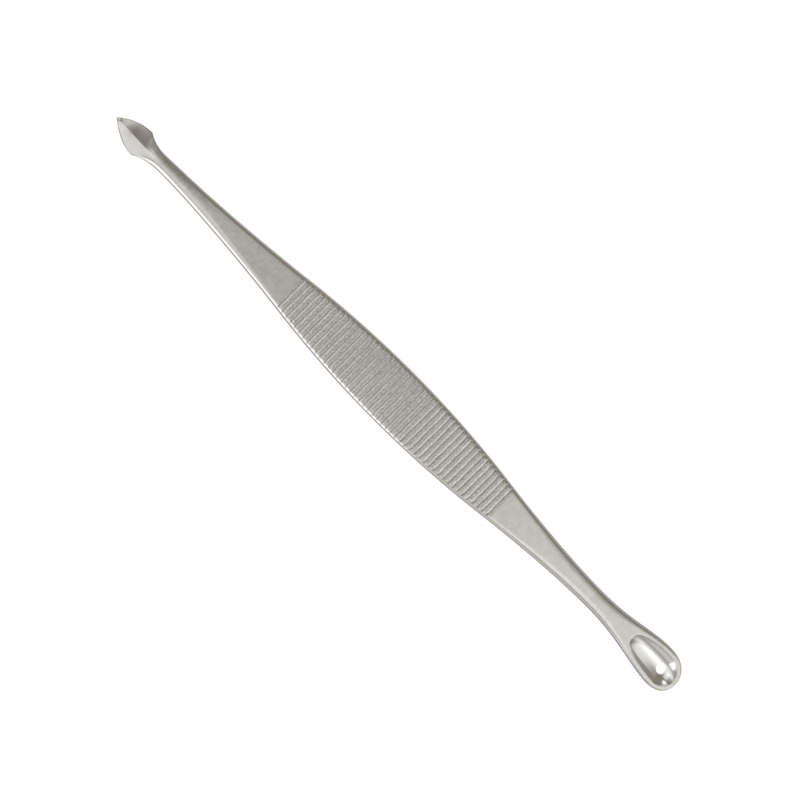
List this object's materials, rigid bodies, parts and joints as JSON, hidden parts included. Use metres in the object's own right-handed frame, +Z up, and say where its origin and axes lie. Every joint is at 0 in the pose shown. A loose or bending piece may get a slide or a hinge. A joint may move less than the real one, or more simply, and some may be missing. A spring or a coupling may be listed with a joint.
{
  "type": "blackhead extractor",
  "caption": "Flat stainless steel skin-care hand tool with a ribbed grip, a ridged lancet at one end and a small pierced spoon at the other.",
  "frame": {"origin": "middle of the overall length and width, on the plane of the grip's back face", "axes": "+X along the tool towards the spoon, +Y across it, +Z up out of the front face with the bowl"},
  "size_m": [0.125, 0.0094, 0.0024],
  "materials": {
    "satin_steel": "satin, brushed across the tool",
    "ribbed_steel": "satin lands with pressed cross grooves",
    "ground_steel": "fine ground facets",
    "polished_steel": "satin rim, mirror polished bowl"
  },
  "bodies": {
    "root": {"lancet_blade": "ground_steel", "lancet_shank": "satin_steel", "ribbed_grip": "ribbed_steel", "spoon_shank": "satin_steel", "spoon_bowl": "polished_steel"}
  },
  "joints": []
}
